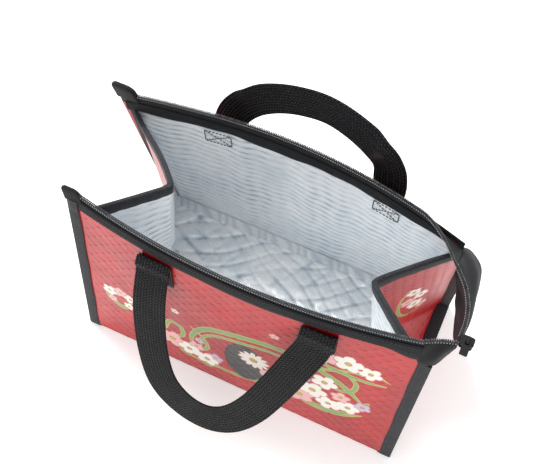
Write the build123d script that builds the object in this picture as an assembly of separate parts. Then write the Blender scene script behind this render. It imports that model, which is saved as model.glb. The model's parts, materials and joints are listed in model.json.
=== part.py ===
from build123d import *
import os

# Insulated cooler bag. Origin: centre of the resting face. +X is along the width,
# -Y is the front, +Z is up. Millimetres.

# Driving dimensions
WIDTH = 330.0             # across the bottom, over the bound corners
DEPTH = 170.0             # front to back at the bottom
TEETH_Z = 215.0           # height of the zipper teeth at the corners
EDGE_ROLL = 4.0           # radius that the laminate takes round the bottom edges
FIN = 12.0                # width of a bound seam
TOP_NARROWING = 3.0       # each side, bottom to top

# Laminate, from the outside in, and the binding tape
SKIN, FOAM, LINER = 0.5, 2.2, 0.4
PLY_GAP = 0.05
PLIES = {
    "skin": (0.0, SKIN),
    "foam": (SKIN + PLY_GAP, SKIN + PLY_GAP + FOAM),
    "liner": (SKIN + FOAM + 2 * PLY_GAP, SKIN + FOAM + LINER + 2 * PLY_GAP),
}
LAMINATE = PLIES["liner"][1]
TAPE = 0.6                # binding
BAND = 0.8                # facing and inner band
CLEAR = 0.3

# Walls: front is -1, back is +1. The mouth stands open, and each wall bows outwards.
FRONT, BACK = -1, 1
NAMES = {FRONT: "front", BACK: "back"}
TOP_Y = {FRONT: 46.5, BACK: 53.5}     # corner of the mouth, from the middle
SKEW = {FRONT: 0.0, BACK: 7.5}        # back wall: left corner further out than the right
BOW = {FRONT: 15.0, BACK: 22.0}       # at the teeth, mid span

# Heights of what is sewn to a wall
SKIN_TOP, FOAM_TOP, LINER_TOP = 197.5, 199.0, 197.0
FACING = (195.5, 208.5)
INNER_BAND = (190.5, 203.0)
ZIP_TAPE = (199.4, 213.4)
COIL = (213.6, 216.0)
CORNER_BINDING_TOP = {-1: 207.0, 1: 186.0}
END_CAP = (207.3, 218.5)

# Gussets: each side panel folds inwards in a V
APEX_Z, APEX_DEPTH = 66.0, 42.0
VERTEX_X = 98.0
GUSSET_CORNER_Z = 190.0
GUSSET_VERTEX_Z = {-1: 188.0, 1: 177.0}     # left and right
GUSSET_BINDING = 11.0
GUSSET_STOCK_TOP = 200.0

# Webbing handles
WEBBING, WEBBING_THICK = 30.0, 1.6
TAB = (160.0, 187.0)
LEG_X = {FRONT: 73.0, BACK: 76.0}
LOOP_STANDOFF = {FRONT: 4.2, BACK: 5.0}     # loop plane to skin, for the bow across a leg
LOOP_HEIGHT = {FRONT: 148.0, BACK: 90.0}
LOOP_LEG = {FRONT: 50.0, BACK: 16.0}        # straight part below the arch
LOOP_DIR = {FRONT: (0, -0.515, -0.857), BACK: (0, 0.208, 0.978)}
LOOP_GAP = 0.9

# Zipper tail beyond the right corner, seen from above
TAIL_FRONT = [(151.2, -44.2), (160.0, -41.5), (171.0, -39.6)]
TAIL_BACK = [(151.2, 43.0), (160.5, 21.0), (168.0, 2.0), (171.0, -14.0), (170.6, -31.5)]
TAIL_THICK = 1.2
TAIL_LOW = (189.0, 204.0)         # lower edge, at the corner and at the end
TAIL_COIL = 1.9

# Slider
SLIDER_X, SLIDER_Y = 177.5, -33.0
SLIDER_LENGTH, SLIDER_WIDTH = 10.5, 8.4
SLIDER_PLATE = 1.2
SLIDER_LOW, SLIDER_HIGH = 211.2, 218.2
BRIDGE_LENGTH, BRIDGE_WIDTH, BRIDGE_HEIGHT, BRIDGE_WALL = 6.0, 2.0, 3.2, 1.0
PULL_BAR = 1.0
PULL_ARM_GAP = 0.7
PULL_LENGTH, PULL_WIDTH = 13.0, 6.2
PULL_AXIS_Z = SLIDER_HIGH + 1.1


def half_width(z):
    """Half the width over the bound corners at height z."""
    return WIDTH / 2 - TOP_NARROWING * z / TEETH_Z


def panel_edge(z):
    """Half the width between the bound seams at height z."""
    return half_width(z) - FIN


def wall_y(side, x, z, out=0.0):
    """Y of a wall's outer face, or of a surface that lies out beyond it."""
    rise = (z - EDGE_ROLL) / (TEETH_Z - EDGE_ROLL)
    top = TOP_Y[side] - SKEW[side] * x / half_width(TEETH_Z)
    edge = DEPTH / 2 + (top - DEPTH / 2) * rise
    bow = BOW[side] * rise * (1 - (x / panel_edge(z)) ** 2)
    return side * (edge + bow + out)


def strip_section(side, z, ends, layer):
    """Horizontal cut through one ply of a wall, between two x positions."""
    low, high = ends
    middle = (low + high) / 2
    edges = []
    for out in layer:
        start, crest, end = (wall_y(side, x, z, out) for x in (low, middle, high))
        pull = 2 * crest - (start + end) / 2
        edges.append(Bezier((low, start, z), (middle, pull, z), (high, end, z)))
    edges.append(Line(edges[0] @ 0, edges[1] @ 0))
    edges.append(Line(edges[0] @ 1, edges[1] @ 1))
    return Wire(edges)


def wall_ply(side, heights, layer, ends=None):
    """A ply that follows a wall between two heights. Its ends default to the bound seams."""
    sections = []
    for z in heights:
        span = ends or (-panel_edge(z), panel_edge(z))
        sections.append(strip_section(side, z, span, layer))
    return Solid.make_loft(sections, ruled=True)


def corner_binding(side, hand):
    """Folded tape over a vertical seam: two leaves and the fold beyond the edge."""
    outer, inner = (CLEAR / 6, CLEAR / 6 + TAPE), (-SKIN - 2 * TAPE, -SKIN - TAPE)
    sections = []
    for z in (EDGE_ROLL + CLEAR, CORNER_BINDING_TOP[hand]):
        root, tip = hand * (panel_edge(z) + 1), hand * half_width(z)
        fold = tip - hand * 2 * TAPE
        path = [(root, outer[0]), (root, outer[1]), (tip, outer[1]), (tip, inner[0]),
                (root, inner[0]), (root, inner[1]), (fold, inner[1]), (fold, outer[0])]
        points = [(x, wall_y(side, hand * panel_edge(z), z, out), z) for x, out in path]
        sections.append(Wire.make_polygon(points, close=True))
    return Solid.make_loft(sections, ruled=True)


def wall_skin(side):
    """Outer sheet of a wall, with a seam allowance that runs into each binding."""
    heights = (EDGE_ROLL + CLEAR, SKIN_TOP)
    panel = wall_ply(side, heights, (-SKIN, 0.0))
    for hand in (-1, 1):
        sections = []
        for z in (heights[0], min(heights[1], CORNER_BINDING_TOP[hand])):
            root, tip = hand * panel_edge(z), hand * (half_width(z) - 3 * TAPE)
            path = [(root, -SKIN), (tip, -SKIN), (tip, 0.0), (root, 0.0)]
            points = [(x, wall_y(side, root, z, out), z) for x, out in path]
            sections.append(Wire.make_polygon(points, close=True))
        panel = panel + Solid.make_loft(sections, ruled=True)
    return panel


def end_cap(side):
    """Folded end of the zipper tape, standing on the left corner binding."""
    sections = []
    for z, length in zip(END_CAP, (FIN, FIN / 4)):
        tip = -half_width(z)
        path = [(tip, -2.2), (tip + length, -2.2), (tip + length, 0.6), (tip, 0.6)]
        points = [(x, wall_y(side, -panel_edge(z), z, out), z) for x, out in path]
        sections.append(Wire.make_polygon(points, close=True))
    return Solid.make_loft(sections, ruled=True)


def tray_ply(ply):
    """Bottom sheet that rolls up to meet the walls along the front and the back edge."""
    low, high = PLIES[ply]
    corner = DEPTH / 2 - EDGE_ROLL
    outer_r, inner_r = EDGE_ROLL - low, EDGE_ROLL - high
    slope = 0.7071
    edges = []
    for radius, z in ((outer_r, low), (inner_r, high)):
        for hand in (-1, 1):
            edges.append(ThreePointArc(
                (0, hand * (corner + radius), EDGE_ROLL),
                (0, hand * (corner + radius * slope), EDGE_ROLL - radius * slope),
                (0, hand * corner, z)))
        edges.append(Line((0, -corner, z), (0, corner, z)))
    for hand in (-1, 1):
        edges.append(Line((0, hand * (corner + outer_r), EDGE_ROLL),
                          (0, hand * (corner + inner_r), EDGE_ROLL)))
    return extrude(Face(Wire(edges)), amount=panel_edge(0), dir=(1, 0, 0), both=True)


def bottom_binding(hand):
    """Folded tape over the seam between the bottom and a gusset."""
    root, tip = panel_edge(0) + CLEAR, half_width(0)
    thick = LAMINATE - 2 * TAPE + 0.4
    strip = Box(tip - root, DEPTH - 2 * EDGE_ROLL, thick)
    strip = Pos(hand * (root + tip) / 2, 0, thick / 2) * strip
    return fillet(strip.edges().filter_by(Axis.Y), thick / 4)


def gusset_depth(hand, z):
    """How far the middle fold of a gusset stands in from the seam line."""
    vertex_z = GUSSET_VERTEX_Z[hand]
    if z <= APEX_Z:
        return 1.0 + (APEX_DEPTH - 1.0) * (z - EDGE_ROLL) / (APEX_Z - EDGE_ROLL)
    top = panel_edge(vertex_z) - VERTEX_X
    return APEX_DEPTH + (top - APEX_DEPTH) * (z - APEX_Z) / (vertex_z - APEX_Z)


def gusset_section(hand, z, layer):
    """Horizontal cut through one ply of a folded side panel."""
    edge, depth = panel_edge(z), gusset_depth(hand, z)
    inside = -LAMINATE - BAND - CLEAR
    ends = [wall_y(side, hand * edge, z, inside) for side in (FRONT, BACK)]
    fold = (ends[0] + ends[1]) / 2
    half = (ends[1] - ends[0]) / 2
    facing_share = half / (half ** 2 + depth ** 2) ** 0.5
    outline = [(edge, ends[0]), (edge - depth, fold), (edge, ends[1])]
    points = []
    for into, path in zip(layer, (outline, outline[::-1])):
        points += [(hand * (x - into / facing_share), y, z) for x, y in path]
    return Wire.make_polygon(points, close=True)


def gusset_stock(hand, layer):
    """A folded side panel before its top edge is cut."""
    stations = (EDGE_ROLL + CLEAR, APEX_Z, GUSSET_STOCK_TOP)
    return Solid.make_loft([gusset_section(hand, z, layer) for z in stations], ruled=True)


def above_gusset(hand, lift):
    """Everything above the sloping top edge of a gusset, raised by lift."""
    vertex_z = GUSSET_VERTEX_Z[hand]
    slope = (GUSSET_CORNER_Z - vertex_z) / (panel_edge(GUSSET_CORNER_Z) - VERTEX_X)
    near, far = VERTEX_X - 50, WIDTH / 2 + 20
    points = []
    for x in (near, far):
        points.append((hand * x, 0, vertex_z + lift + slope * (x - VERTEX_X)))
    points += [(hand * far, 0, 2 * TEETH_Z), (hand * near, 0, 2 * TEETH_Z)]
    return extrude(Face(Wire.make_polygon(points, close=True)), amount=DEPTH, dir=(0, 1, 0), both=True)


def gusset_ply(hand, ply):
    """One ply of a folded side panel."""
    return gusset_stock(hand, PLIES[ply]) - above_gusset(hand, 0.0)


def gusset_binding(hand):
    """Folded tape over the top edge of a gusset."""
    tape = gusset_stock(hand, (-PLY_GAP - TAPE, LAMINATE + PLY_GAP + TAPE))
    tape = tape - above_gusset(hand, PLY_GAP + TAPE)
    tape = tape & above_gusset(hand, -GUSSET_BINDING)
    pocket = gusset_stock(hand, (-PLY_GAP, LAMINATE + PLY_GAP)) - above_gusset(hand, PLY_GAP)
    return tape - pocket


def tail_tape(points, thick, heights):
    """Zipper tape that runs on beyond the corner, as a thin curved strip."""
    path = Spline(points)
    strips = []
    for z in heights:
        edges = []
        for offset in (-thick / 2, thick / 2):
            edges.append(Spline([shifted(path, share, offset, z) for share in (0, 0.25, 0.5, 0.75, 1)]))
        edges.append(Line(edges[0] @ 0, edges[1] @ 0))
        edges.append(Line(edges[0] @ 1, edges[1] @ 1))
        strips.append(Wire(edges))
    return Solid.make_loft(strips, ruled=True)


def shifted(path, share, offset, z):
    """Point beside a plan curve, at height z."""
    point, along = path @ share, path % share
    return (point.X - along.Y * offset, point.Y + along.X * offset, z)


def tail_panel(points):
    """Tail tape with its lower edge cut to a slope that rises towards the slider."""
    tape = tail_tape(points, TAIL_THICK, (TAIL_LOW[0], ZIP_TAPE[1]))
    near, far = points[0][0] - 10, SLIDER_X
    corners = [(near, 0, TAIL_LOW[0] - 5), (far, 0, TAIL_LOW[0] - 5), (far, 0, TAIL_LOW[1]),
               (panel_edge(TEETH_Z) + FIN, 0, TAIL_LOW[0])]
    waste = Face(Wire.make_polygon(corners, close=True))
    return tape - extrude(waste, amount=DEPTH, dir=(0, 1, 0), both=True)


def handle_tabs(side):
    """Sewn ends of a handle, flat on the wall."""
    tabs = []
    for hand in (-1, 1):
        middle = hand * LEG_X[side]
        ends = (middle - WEBBING / 2, middle + WEBBING / 2)
        tabs.append(wall_ply(side, TAB, (PLY_GAP, PLY_GAP + WEBBING_THICK), ends))
    return Compound(children=tabs)


def loop_plane(side):
    """Plane of a handle's free part. Its X axis is the fold line that the loop swings about."""
    z = TAB[1]
    left, right = (Vector(x, wall_y(side, x, z, LOOP_STANDOFF[side]), z)
                   for x in (-LEG_X[side], LEG_X[side]))
    fold_line = right - left
    return Plane(origin=(left + right) / 2, x_dir=fold_line,
                 z_dir=fold_line.cross(Vector(*LOOP_DIR[side])))


def handle_loop(side):
    """Free part of a handle: two legs joined by an arch, in one plane."""
    plane = loop_plane(side)
    leg = LOOP_LEG[side]
    edges = []
    for edge in (-1, 1):
        half = LEG_X[side] + edge * WEBBING / 2
        rise = LOOP_HEIGHT[side] - leg - (1 - edge) * WEBBING / 2
        edges.append(EllipticalCenterArc((0, leg), half, rise, arc_size=180))
        for hand in (-1, 1):
            edges.append(Line((hand * half, LOOP_GAP), (hand * half, leg)))
    for hand in (-1, 1):
        middle = hand * LEG_X[side]
        edges.append(Line((middle - WEBBING / 2, LOOP_GAP), (middle + WEBBING / 2, LOOP_GAP)))
    return extrude(plane * Face(Wire(edges)), amount=WEBBING_THICK / 2, both=True)


def slider_body():
    """Two plates joined by a post at the closed end, with the bridge for the pull on top."""
    post_width, post_length = 1.6, 3.0
    x, y = SLIDER_X, SLIDER_Y
    body = None
    for z in (SLIDER_LOW, SLIDER_HIGH - SLIDER_PLATE):
        plate = Pos(x, y, z + SLIDER_PLATE / 2) * Box(SLIDER_LENGTH, SLIDER_WIDTH, SLIDER_PLATE)
        plate = fillet(plate.edges().filter_by(Axis.Z), SLIDER_WIDTH / 4)
        body = plate if body is None else body + plate
    post_x = x - SLIDER_LENGTH / 2 + post_length / 2 + 0.6
    height = SLIDER_HIGH - SLIDER_LOW
    body = body + Pos(post_x, y, (SLIDER_HIGH + SLIDER_LOW) / 2) * Box(post_length, post_width, height)
    bridge = Box(BRIDGE_WIDTH, BRIDGE_LENGTH, BRIDGE_HEIGHT)
    opening = Box(BRIDGE_WIDTH, BRIDGE_LENGTH - 2 * BRIDGE_WALL, BRIDGE_HEIGHT - BRIDGE_WALL)
    bridge = bridge - Pos(0, 0, -BRIDGE_WALL / 2) * opening
    return body + Pos(x, y, SLIDER_HIGH + BRIDGE_HEIGHT / 2) * bridge


def pull_tab():
    """Flat pull with a window that goes round the bridge. Its end bar is the hinge."""
    window = BRIDGE_WIDTH + 2 * PULL_ARM_GAP
    inside = BRIDGE_LENGTH / 2 + PULL_ARM_GAP
    plate = Box(PULL_WIDTH, PULL_LENGTH, PULL_BAR)
    plate = Pos(0, PULL_BAR / 2 - PULL_LENGTH / 2, 0) * plate
    plate = fillet(plate.edges().filter_by(Axis.Z), PULL_BAR)
    cut = Box(window, inside - PULL_BAR / 2, 2 * PULL_BAR)
    plate = plate - Pos(0, -(inside + PULL_BAR / 2) / 2, 0) * cut
    return Pos(SLIDER_X, SLIDER_Y, PULL_AXIS_Z) * plate


def wall_nodes(side):
    """All the pieces that one wall carries."""
    start = EDGE_ROLL + CLEAR
    name = NAMES[side]
    nodes = {
        f"{name}_skin": wall_skin(side),
        f"{name}_foam": wall_ply(side, (start, FOAM_TOP), [-d for d in PLIES["foam"]]),
        f"{name}_liner": wall_ply(side, (start, LINER_TOP), [-d for d in PLIES["liner"]]),
        f"{name}_facing": wall_ply(side, FACING, (PLY_GAP, PLY_GAP + BAND)),
        f"{name}_inner_band": wall_ply(side, INNER_BAND, (-LAMINATE - BAND, -LAMINATE - PLY_GAP)),
        f"{name}_zipper_tape": wall_ply(side, ZIP_TAPE, (-2.0, -1.0)),
        f"{name}_zipper_coil": wall_ply(side, COIL, (-2.5, -0.5)),
        f"{name}_handle_tabs": handle_tabs(side),
        f"{name}_handle_loop": handle_loop(side),
        f"{name}_left_end_cap": end_cap(side),
    }
    for hand, word in ((-1, "left"), (1, "right")):
        nodes[f"{name}_{word}_corner_binding"] = corner_binding(side, hand)
    points = TAIL_FRONT if side == FRONT else TAIL_BACK
    nodes[f"{name}_tail_tape"] = tail_panel(points)
    nodes[f"{name}_tail_coil"] = tail_tape(points, TAIL_COIL, COIL)
    return nodes


def base_nodes():
    """The bottom and the two folded side panels."""
    nodes = {f"bottom_{ply}": tray_ply(ply) for ply in PLIES}
    for hand, word in ((-1, "left"), (1, "right")):
        nodes[f"{word}_bottom_binding"] = bottom_binding(hand)
        nodes[f"{word}_gusset_binding"] = gusset_binding(hand)
        for ply in PLIES:
            nodes[f"{word}_gusset_{ply}"] = gusset_ply(hand, ply)
    return nodes


def main():
    os.makedirs("parts", exist_ok=True)
    nodes = base_nodes()
    for side in (FRONT, BACK):
        nodes.update(wall_nodes(side))
    nodes["slider_body"] = slider_body()
    nodes["pull_tab"] = pull_tab()
    for name, shape in nodes.items():
        export_step(shape, f"parts/{name}.step")


main()
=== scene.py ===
"""Looks of the insulated cooler bag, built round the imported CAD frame.

The axes are the CAD's: +X towards the zipper's tail, -Y the front, +Z up. The helpers work in
millimetres, and mesh_object() turns them into the frame's metres.
"""

import json
import math
import bpy
import numpy as np
from mathutils import Matrix, Vector


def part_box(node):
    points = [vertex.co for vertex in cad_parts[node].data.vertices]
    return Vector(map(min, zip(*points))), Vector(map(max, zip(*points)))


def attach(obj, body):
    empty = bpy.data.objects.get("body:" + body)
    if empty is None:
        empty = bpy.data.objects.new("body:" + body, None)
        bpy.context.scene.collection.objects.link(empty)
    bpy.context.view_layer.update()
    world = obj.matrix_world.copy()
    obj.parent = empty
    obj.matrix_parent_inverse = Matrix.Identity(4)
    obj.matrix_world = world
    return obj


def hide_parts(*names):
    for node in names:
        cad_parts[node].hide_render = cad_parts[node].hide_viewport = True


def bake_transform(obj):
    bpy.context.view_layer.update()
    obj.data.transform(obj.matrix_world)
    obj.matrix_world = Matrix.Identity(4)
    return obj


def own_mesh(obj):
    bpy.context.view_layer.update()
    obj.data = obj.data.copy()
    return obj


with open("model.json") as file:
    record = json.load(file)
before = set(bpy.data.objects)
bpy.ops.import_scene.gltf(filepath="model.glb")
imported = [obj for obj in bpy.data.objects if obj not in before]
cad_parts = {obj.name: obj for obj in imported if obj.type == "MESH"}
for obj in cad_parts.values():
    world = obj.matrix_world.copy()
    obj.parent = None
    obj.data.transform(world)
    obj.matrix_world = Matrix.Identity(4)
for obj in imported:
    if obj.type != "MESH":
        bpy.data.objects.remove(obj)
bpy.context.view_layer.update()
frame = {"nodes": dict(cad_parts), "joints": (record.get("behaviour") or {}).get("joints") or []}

MM = 0.001
FRONT, BACK = -1, 1
LEFT, RIGHT = -1, 1
SIDES = {FRONT: "front", BACK: "back"}
HANDS = {LEFT: "left", RIGHT: "right"}


def box_mm(node):
    """Lowest and highest corner of a CAD node, in millimetres."""
    low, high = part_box(node)
    return np.array(low) / MM, np.array(high) / MM


def node_points(node):
    """Vertices of a CAD node, in millimetres."""
    return np.array([v.co for v in frame["nodes"][node].data.vertices]) / MM


# ---- Sizes read from the frame

def heights(node):
    """Lowest and highest z of a CAD node, in millimetres."""
    return [corner[2] for corner in box_mm(node)]


BOTTOM_EDGE, HALF_DEPTH, EDGE_ROLL = box_mm("bottom_skin")[1]
HALF_WIDTH = box_mm("right_bottom_binding")[1][0]
FIN = HALF_WIDTH - BOTTOM_EDGE
WALL_FOOT, SKIN_TOP = heights("front_skin")
FOAM_TOP = heights("front_foam")[1]
LINER_TOP = heights("front_liner")[1]
FACING_LOW, FACING_TOP = heights("front_facing")
BAND_LOW, BAND_TOP = heights("front_inner_band")
TAPE_LOW, TAPE_TOP = heights("front_zipper_tape")
COIL_LOW, COIL_TOP = heights("front_zipper_coil")
COIL_Z = (COIL_LOW + COIL_TOP) / 2
TAB_LOW, TAB_TOP = heights("front_handle_tabs")

# ---- Sizes of the build

APEX_Z = 66.0               # where a gusset's lower triangle ends
VERTEX_Z = {LEFT: 188.0, RIGHT: 177.0}      # a gusset's bound edge at its middle fold
GUSSET_TOP = 190.0                          # and at its seams
SKIN = 0.5                  # thickness of the outer sheet
LAMINATE = 3.2              # skin, foam and liner together
FOAM = (-2.75, -0.55)       # inner and outer face, as depth from the outside
LINER = (-3.2, -2.8)
TOP_NARROWING = 3.0         # of half the width, from the bottom to the teeth
BINDING, BAND = 0.6, 0.8    # thickness of the binding tape and of the bands on the rim
WEBBING, WEBBING_THICK = 30.0, 1.6
MOUTH_SAG = {FRONT: 5.0, BACK: 0.5}      # how far the middle of a rim hangs below its ends
TAPE_OUT = -1.5                          # middle of the zipper tape, from the skin
GUSSET_IN = -4.3                         # where a gusset meets its wall, from the skin
APEX_DEPTH, VERTEX_DEPTH = 42.0, 52.0    # how far a gusset's middle fold stands in, low and high


def top_line(side):
    """Parabola in plan that the wall's outer face follows at the top of the teeth."""
    points = node_points(f"{SIDES[side]}_zipper_coil")
    upper = points[points[:, 2] > COIL_TOP - 0.1]
    fit = np.polyfit(upper[:, 0], upper[:, 1], 2)
    fit[2] -= side * TAPE_OUT
    return fit


TOP_LINE = {side: top_line(side) for side in SIDES}


# ---- Shapes of the cloth

def xyz(x, y, z):
    """Points from their three coordinates."""
    return np.stack(np.broadcast_arrays(x, y, z), -1)


def half_width(z):
    """Half the width over the bound corners."""
    return HALF_WIDTH - TOP_NARROWING * z / COIL_TOP


def panel_edge(z):
    """Half the width between the bound seams."""
    return half_width(z) - FIN


def swell(x, z, phase):
    """Soft unevenness of a hanging panel, from about -1 to 1."""
    return (np.sin(x / 41 + phase) * np.sin(z / 33 + 2 * phase)
            + 0.6 * np.sin(x / 19 - z / 27 + 3 * phase)
            + 0.4 * np.sin(x / 11 + z / 15 + phase)) / 2


def wall(side, x, z, out=0.0):
    """Point of a wall. out is how far it stands in front of the outer face."""
    x, z = np.asarray(x, float), np.asarray(z, float)
    rise = (z - EDGE_ROLL) / (COIL_TOP - EDGE_ROLL)
    foot = side * HALF_DEPTH
    y = foot + (np.polyval(TOP_LINE[side], x) - foot) * rise
    inner = np.clip(1 - (x / BOTTOM_EDGE) ** 2, 0, 1)
    belly = 1.6 * np.sin(np.pi * np.clip(rise, 0, 1)) * inner * swell(x, z, 1.0 + side)
    sag = MOUTH_SAG[side] * inner * np.clip(rise, 0, 1) ** 2
    return xyz(x, y + side * (out + belly), z - sag)


def rim(side, x, z, out=0.0):
    """Point of the zipper tape, which turns in towards the tail at the right end of the back wall."""
    points = wall(side, x, z, out)
    if side == BACK:
        start, run, inwards = 110.0, 40.0, 22.0
        turn = np.clip((np.asarray(x, float) - start) / run, 0, 1) ** 1.7
        points[..., 1] -= inwards * turn * (np.asarray(z, float) - TAPE_LOW) / (COIL_Z - TAPE_LOW)
    return points


def soft_min(a, b, radius):
    """Smaller of two values, rounded where they cross."""
    share = np.clip(0.5 + (b - a) / (2 * radius), 0, 1)
    return b + (a - b) * share - radius * share * (1 - share)


def gusset(hand, side, across, z, into=0.0):
    """Point of one half of a folded side panel. across is 0 at the middle fold and 1 at the seam."""
    across, z = np.asarray(across, float), np.asarray(z, float)
    edge = panel_edge(z)
    seam = wall(side, hand * edge, z, GUSSET_IN)[..., 1]
    other = wall(-side, hand * edge, z, GUSSET_IN)[..., 1]
    fold = (seam + other) / 2
    y = fold + (seam - fold) * across
    climb = (z - APEX_Z) / (VERTEX_Z[hand] - APEX_Z)
    depth = APEX_DEPTH + (VERTEX_DEPTH - APEX_DEPTH) * climb
    round_fold = 0.07
    along = (np.sqrt(across ** 2 + round_fold ** 2) - round_fold) / (
        math.sqrt(1 + round_fold ** 2) - round_fold)
    folded = depth * (1 - along)
    triangle = np.clip(1.0 + APEX_DEPTH * (z - EDGE_ROLL) / (APEX_Z - EDGE_ROLL), 0.6, None)
    stand_in = soft_min(folded, triangle, 3.0)
    half = np.abs(seam - fold)
    slant = half / np.sqrt(half ** 2 + depth ** 2)
    puff = 0.9 * swell(across * 80 * side, z, 2.0 * hand) * np.clip(4 * across * (1 - across), 0, 1)
    x = hand * (edge - stand_in - (into + puff) / slant)
    return xyz(x, y, z)


def gusset_top(hand, across):
    """Height of a gusset's bound edge."""
    return VERTEX_Z[hand] + (GUSSET_TOP - VERTEX_Z[hand]) * np.asarray(across, float)


FLARE = -11.0               # how far the back wall's top left corner spreads sideways


def fade(value, start, end):
    """0 before start, 1 after end, smooth between."""
    share = np.clip((value - start) / (end - start), 0, 1)
    return share * share * (3 - 2 * share)


def flare(points):
    """Points with the back wall's top left corner, and all that is sewn to it, spread sideways."""
    points = np.array(points, float)
    x, y, z = points[..., 0], points[..., 1], points[..., 2]
    climb = np.clip((z - EDGE_ROLL) / (LINER_TOP - EDGE_ROLL), 0, 1)
    points[..., 0] += FLARE * climb * fade(-x, 92, 155) * fade(y, 8, 52)
    return points


# ---- Mesh building

def lengths(points):
    """Distance gone along a line at each of its points."""
    return np.concatenate([[0.0], np.cumsum(np.linalg.norm(np.diff(points, axis=0), axis=1))])


def mesh_object(name, points, faces, coords, attributes=None):
    """Mesh from points in millimetres. coords are its cloth coordinates, in millimetres too."""
    points = flare(np.asarray(points, float).reshape(-1, 3))
    quads = faces[0]
    corners = [points[quads[:, i]] for i in range(4)]
    centre = points.mean(0)
    volume = 0.0
    for a, b, c in ((0, 1, 2), (0, 2, 3)):
        volume += np.einsum("ij,ij->", corners[a] - centre,
                            np.cross(corners[b] - centre, corners[c] - centre))
    lists = [face for group in faces for face in np.asarray(group).tolist()]
    if volume < 0:
        lists = [face[::-1] for face in lists]
    mesh = bpy.data.meshes.new(name)
    mesh.from_pydata((points * MM).tolist(), [], lists)
    index = np.zeros(len(mesh.loops), np.int32)
    mesh.loops.foreach_get("vertex_index", index)
    layer = mesh.uv_layers.new(name="cloth")
    places = np.asarray(coords).reshape(-1, 2)[index] * MM
    layer.data.foreach_set("uv", places.astype(np.float32).ravel())
    for key, values in (attributes or {}).items():
        field = mesh.attributes.new(key, "FLOAT", "POINT").data
        field.foreach_set("value", np.asarray(values, np.float32).ravel())
    mesh.shade_smooth()
    mesh.set_sharp_from_angle(angle=math.radians(50))
    piece = bpy.data.objects.new(name, mesh)
    bpy.context.scene.collection.objects.link(piece)
    return piece


def sheet(name, us, vs, place, inner, outer, attributes=None):
    """Closed sheet between two offsets of a surface. place(u, v, offset) gives its points."""
    u, v = np.meshgrid(us, vs)
    rows, columns = u.shape
    points = np.concatenate([place(u, v, offset).reshape(-1, 3) for offset in (outer, inner)])
    grid = np.arange(rows * columns).reshape(rows, columns)
    face = np.stack([grid[:-1, :-1], grid[:-1, 1:], grid[1:, 1:], grid[1:, :-1]], -1).reshape(-1, 4)
    border = np.concatenate([grid[0, :], grid[1:, -1], grid[-1, -2::-1], grid[-2:0:-1, 0]])
    after = np.roll(border, -1)
    other = rows * columns
    edge = np.stack([after, border, border + other, after + other], -1)
    quads = np.concatenate([face, face[:, ::-1] + other, edge])
    coords = np.tile(np.stack([u, v], -1).reshape(-1, 2), (2, 1))
    both = {key: np.tile(values.ravel(), 2) for key, values in (attributes or {}).items()}
    return mesh_object(name, points, [quads], coords, both)


def loft(name, loops, across):
    """Closed skin over a row of closed sections. across is each section point's place over the width."""
    count, size = loops.shape[:2]
    grid = np.arange(count * size).reshape(count, size)
    turned = np.roll(grid, -1, axis=1)
    quads = np.stack([grid[:-1], turned[:-1], turned[1:], grid[1:]], -1).reshape(-1, 4)
    coords = np.stack(np.broadcast_arrays(lengths(loops.mean(1))[:, None], np.asarray(across)), -1)
    return mesh_object(name, loops, [quads, [grid[0][::-1].tolist()], [grid[-1].tolist()]], coords)


def joined(name, parts):
    """Several meshes as one piece."""
    target = parts[0]
    with bpy.context.temp_override(active_object=target, selected_editable_objects=parts):
        bpy.ops.object.join()
    target.name = name
    target.data.name = name
    return target


def thick_line(points, thickness, rounding=3):
    """Section of a band whose middle follows points. Returns its outline and the place over its width."""
    points = np.asarray(points, float)
    ways = np.gradient(points, axis=0)
    ways /= np.linalg.norm(ways, axis=1)[:, None]
    normals = np.stack([-ways[:, 1], ways[:, 0]], -1) * thickness / 2
    length = lengths(points)
    turns = (np.pi * np.arange(1, rounding + 1) / (rounding + 1))[:, None]
    last = points[-1] + normals[-1] * np.cos(turns) + ways[-1] * thickness / 2 * np.sin(turns)
    first = points[0] - normals[0] * np.cos(turns) - ways[0] * thickness / 2 * np.sin(turns)
    outline = np.concatenate([points + normals, last, (points - normals)[::-1], first])
    across = [*length, *[length[-1]] * rounding, *length[::-1], *[0.0] * rounding]
    return outline, np.array(across)


def arc(centre, radius, start, end, count):
    """Points on an arc, with angles in degrees."""
    angles = np.radians(np.linspace(start, end, count))
    return [(centre[0] + radius * math.cos(t), centre[1] + radius * math.sin(t)) for t in angles]


def smooth_route(points, step):
    """Catmull-Rom curve through points, sampled evenly."""
    points = np.asarray(points, float)
    padded = np.concatenate([2 * points[:1] - points[1:2], points, 2 * points[-1:] - points[-2:-1]])
    t = np.linspace(0, 1, 24, endpoint=False)[:, None]
    runs = []
    for a, b, c, d in zip(padded, padded[1:], padded[2:], padded[3:]):
        runs.append(b + (c - a) * t / 2 + (2 * a - 5 * b + 4 * c - d) * t ** 2 / 2
                    + (3 * b - a - 3 * c + d) * t ** 3 / 2)
    return evenly(np.concatenate([*runs, points[-1:]]), step)


def evenly(points, step):
    """The same line with its points about one step apart."""
    gone = lengths(points)
    places = np.linspace(0, gone[-1], max(2, int(round(gone[-1] / step)) + 1))
    return np.stack([np.interp(places, gone, points[:, i]) for i in range(points.shape[1])], -1)


def spaced(low, high, step):
    """Grid lines on whole steps between two ends, with the ends themselves."""
    inside = np.arange(math.ceil(low / step + 0.3), math.floor(high / step - 0.3) + 1) * step
    return np.concatenate([[low], inside, [high]])


def unit(vectors):
    """Vectors made one long."""
    return vectors / np.linalg.norm(vectors, axis=-1, keepdims=True)


def outwards(side, count):
    """So many unit vectors straight off a wall's outer face."""
    return np.tile([0.0, side, 0.0], (count, 1))


STITCH_PITCH, STITCH_LENGTH, THREAD = 3.4, 2.5, 0.32


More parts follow.
